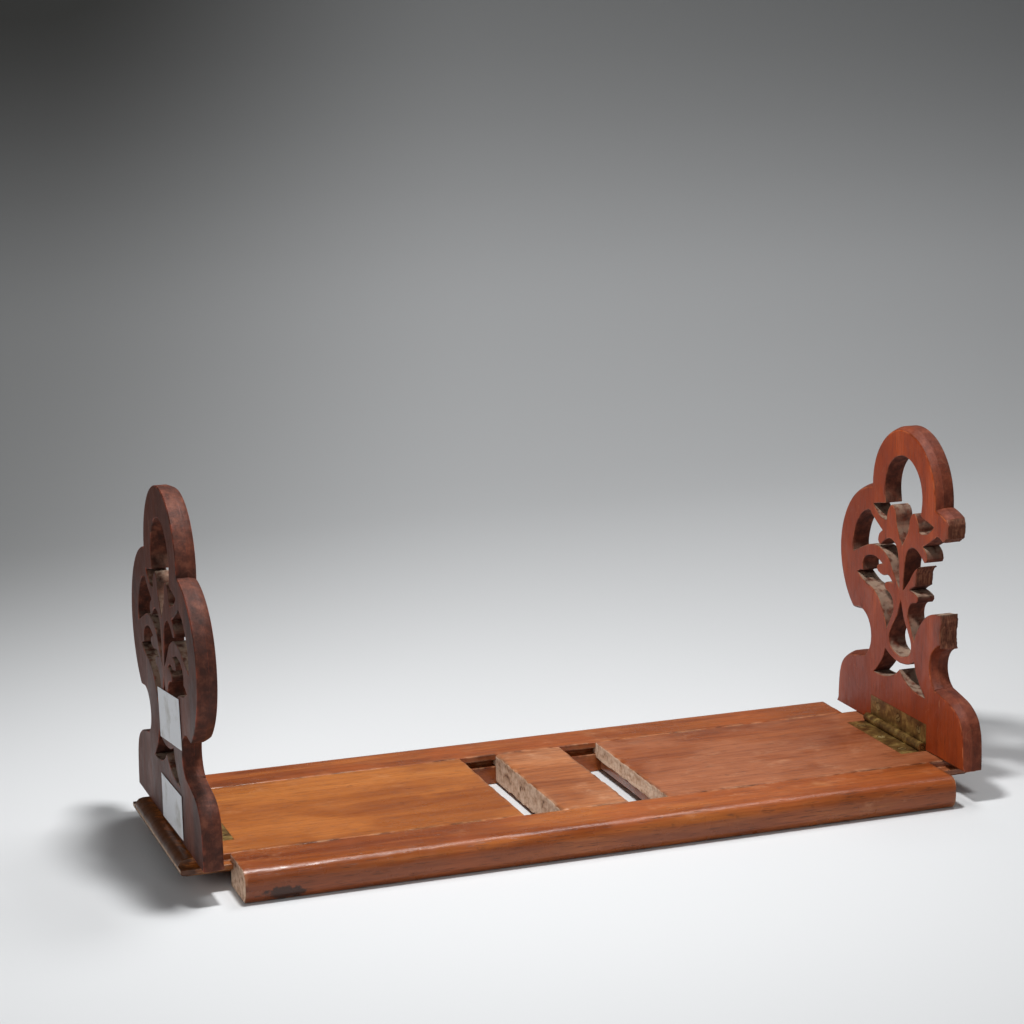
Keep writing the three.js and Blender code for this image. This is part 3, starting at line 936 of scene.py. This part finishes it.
def left_board_wood():
    return wood(
        "left_board_varnish",
        tones=(linear(64, 28, 16), linear(92, 42, 25), linear(118, 60, 38)),
        # worn is also the colour of the painted highlight along the board's ridge.
        patch=linear(102, 50, 32), worn=linear(176, 78, 50), sheen=(0.42, 0.62), scuff=0.1,
        board=True)


def brass(name, base, bright, grime, rough):
    """Aged brass: dull, with patches of brown grime and of brighter metal."""
    s = Shader(name)
    cloud = s.noise((150, 150, 150), 4, 0.65)
    fine = s.noise((1500, 1500, 1500), 3, 0.6)
    colour = s.ramp(cloud, [(0.35, grime), (0.52, base), (0.7, bright)])
    colour = s.mix(s.math("MULTIPLY", s.step(fine, 0.55, 0.7), 0.4), colour, grime)
    s.put(colour, s.surface.inputs["Base Color"])
    s.surface.inputs["Metallic"].default_value = 0.5
    roughness = s.math("ADD", rough, s.math("MULTIPLY", fine, 0.25))
    s.put(roughness, s.surface.inputs["Roughness"])
    s.bump([(cloud, 0.12 * MM), (fine, 0.03 * MM)])
    return s.material


def hinge_metal():
    return brass("aged_brass", linear(126, 96, 52), linear(186, 156, 92), linear(84, 56, 30), 0.26)


def screw_metal():
    return brass("dull_screw_brass", linear(158, 132, 84), linear(190, 168, 118), linear(96, 74, 44), 0.3)


def paper(name):
    s = Shader(name)
    cloud = s.noise((70, 70, 70), 4, 0.6)
    fibre = s.noise((1400, 1400, 1400), 3, 0.6)
    colour = s.ramp(cloud, [(0.3, linear(206, 204, 200)), (0.5, linear(240, 241, 244))])
    colour = s.mix(s.math("MULTIPLY", s.step(fibre, 0.5, 0.75), 0.2), colour, linear(206, 206, 206))
    s.put(colour, s.surface.inputs["Base Color"])
    s.surface.inputs["Roughness"].default_value = 0.75
    s.bump([(cloud, 0.25 * MM), (fibre, 0.02 * MM)])
    return s.material


# ---------- camera, floor and light ----------

def place_camera():
    level_share = math.cos(CAMERA_PITCH)
    forward = Vector((math.sin(CAMERA_YAW) * level_share, math.cos(CAMERA_YAW) * level_share,
                      -math.sin(CAMERA_PITCH)))
    level = Vector((math.cos(CAMERA_YAW), -math.sin(CAMERA_YAW), 0))
    upright = level.cross(forward)
    right = math.cos(CAMERA_ROLL) * level + math.sin(CAMERA_ROLL) * upright
    up = -math.sin(CAMERA_ROLL) * level + math.cos(CAMERA_ROLL) * upright
    data = bpy.data.cameras.new("camera")
    data.lens = CAMERA_LENS
    data.sensor_width = 36
    data.clip_end = 50
    camera = bpy.data.objects.new("camera", data)
    turn = Matrix((right, up, -forward)).transposed().to_4x4()
    camera.matrix_world = Matrix.Translation(CAMERA_PLACE) @ turn
    bpy.context.collection.objects.link(camera)
    bpy.context.scene.camera = camera


def floor_paper():
    """Pale in front, with painted shade darkening it towards the back and the far left."""
    s = Shader("pale_floor")
    place = s.add("ShaderNodeSeparateXYZ")
    s.put(s.add("ShaderNodeTexCoord").outputs["Object"], place.inputs[0])
    # Painted shade: the colour darkens towards the far left and up the back of the sweep, where less light
    # falls.
    sideways = s.math("SUBTRACT", place.outputs["X"], s.math("MULTIPLY", place.outputs["Y"], 0.35))
    left = s.math("MULTIPLY", s.step(sideways, -0.02, -0.5), s.step(place.outputs["Y"], 0.1, 0.7))
    high = s.step(place.outputs["Y"], 1.1, 1.5)
    shade = s.math("ADD", s.math("MULTIPLY", left, 0.5), s.math("MULTIPLY", high, 0.55))
    colour = s.mix(shade, (0.665, 0.675, 0.685, 1), (0.08, 0.08, 0.076, 1))
    s.put(colour, s.surface.inputs["Base Color"])
    s.surface.inputs["Roughness"].default_value = 0.8
    return s.material


def build_floor():
    """A pale paper sweep: flat in front, curving up behind."""
    curve_start = FLOOR_BACK - FLOOR_RADIUS
    profile = [(FLOOR_FRONT, 0.0), (curve_start, 0.0)]
    for step in range(1, 17):
        angle = math.radians(90 * step / 16)
        profile.append((curve_start + FLOOR_RADIUS * math.sin(angle), FLOOR_RADIUS * (1 - math.cos(angle))))
    profile.append((FLOOR_BACK, FLOOR_TOP))
    verts = [(x, y, z - FLOOR_DROP) for x in (-FLOOR_HALF_WIDTH, FLOOR_HALF_WIDTH) for y, z in profile]
    count = len(profile)
    faces = [(i, i + count, i + count + 1, i + 1) for i in range(count - 1)]
    mesh = bpy.data.meshes.new("floor")
    mesh.from_pydata(verts, [], faces)
    mesh.shade_smooth()
    floor = bpy.data.objects.new("floor", mesh)
    bpy.context.collection.objects.link(floor)
    mesh.materials.append(floor_paper())


def area_light(name, place, aim, size, power, spread):
    data = bpy.data.lights.new(name, "AREA")
    data.shape = "RECTANGLE"
    data.size, data.size_y = size
    data.energy = power
    data.spread = math.radians(spread)
    light = bpy.data.objects.new(name, data)
    light.location = place
    light.rotation_euler = (Vector(aim) - Vector(place)).to_track_quat("-Z", "Y").to_euler()
    bpy.context.collection.objects.link(light)


def light_scene():
    area_light("key", (-0.08, -0.06, 0.7), (-0.03, 0.0, 0), (0.1, 0.08), 4.2, spread=170)
    area_light("back", (0.5, 0.35, 1.3), (0.4, 0.35, 0), (0.6, 0.5), 5.2, spread=150)
    area_light("left_fill", (-1.1, -0.5, 0.5), (-0.2, 0, 0.08), (0.5, 0.4), 0.9, spread=120)
    area_light("front_fill", (-0.3, -1.7, 1.0), (0, -0.1, 0), (1.2, 0.8), 2.2, spread=120)
    world = bpy.data.worlds.new("world")
    world.use_nodes = True
    world.node_tree.nodes["Background"].inputs[0].default_value = (0.95, 0.98, 1, 1)
    world.node_tree.nodes["Background"].inputs[1].default_value = 0.08
    bpy.context.scene.world = world
    bpy.context.scene.view_settings.view_transform = "Standard"


# ---------- the whole stand ----------

def build_stand():
    rail = rail_wood()
    leaves = {"left": left_leaf_wood(), "right": right_leaf_wood()}
    boards = {"left": left_board_wood(), "right": right_board_wood()}
    hinge_brass = hinge_metal()
    screw_brass = screw_metal()

    build_rails(rail)
    build_centre_board(centre_board_wood())
    for side in ("left", "right"):
        build_slider(side, leaves[side])
        build_batten(side, leaves[side])
        build_end_board(side, boards[side])
        build_hinge(side, hinge_brass, screw_brass)
    label = paper("blank_label")
    build_label("upper_label", 1.0, label)
    build_label("lower_label", 5.0, label)


build_stand()
build_floor()
light_scene()
place_camera()
